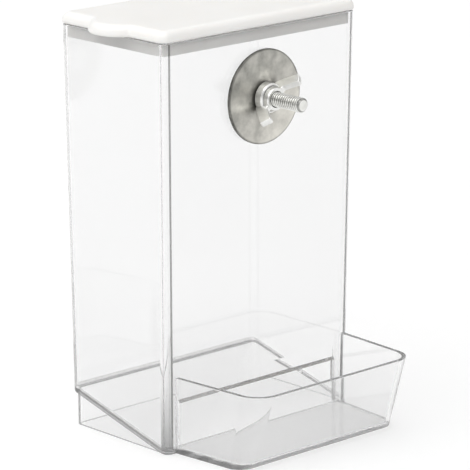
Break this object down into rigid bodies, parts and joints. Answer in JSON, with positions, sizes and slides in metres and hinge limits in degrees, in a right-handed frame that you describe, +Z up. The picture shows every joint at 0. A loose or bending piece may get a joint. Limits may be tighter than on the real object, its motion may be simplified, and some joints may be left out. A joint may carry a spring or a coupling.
{
  "type": "gravity seed feeder",
  "caption": "Clear plastic gravity seed feeder for a bird cage: tall hopper on a sloped floor that runs into an open tray, white plug lid, and a bolt and wing nut that clamp it to the wires.",
  "frame": {"origin": "on the surface that the feeder stands on, under the middle of its box", "axes": "+Z up, -Y towards the feeding tray and the clamp bolt, +X to the right of someone who faces the tray"},
  "size_m": [0.0992, 0.0882, 0.1427],
  "materials": {
    "clear_plastic": "clear moulded polystyrene, polished",
    "white_plastic": "white moulded polypropylene, semi-gloss",
    "zinc_plated_steel": "bright zinc plate, slightly blotchy"
  },
  "bodies": {
    "feeder": {"hopper_shell": "clear_plastic", "base_tray": "clear_plastic", "clamp_bolt": "zinc_plated_steel", "inner_washer": "zinc_plated_steel"},
    "lid": {"lid": "white_plastic"},
    "washer": {"front_washer": "zinc_plated_steel"},
    "nut": {"wing_nut": "zinc_plated_steel"}
  },
  "joints": [
    {"name": "lid_lift", "type": "slide", "parent": "feeder", "child": "lid", "axis": [0, 0, 1], "range_m": [0, 0.03]},
    {"name": "washer_travel", "type": "slide", "parent": "feeder", "child": "washer", "axis": [0, -0.9999, -0.0115], "range_m": [0, 0.0161]},
    {"name": "nut_turn", "type": "hinge", "parent": "washer", "child": "nut", "pos_m": [0, -0.00741, 0.1155], "axis": [0, -0.9999, -0.0115], "range_deg": [0, 7200]}
  ],
  "couplings": [
    {"joint": "washer_travel", "follows": "nut_turn", "m_per_rad": 0.00012732}
  ]
}
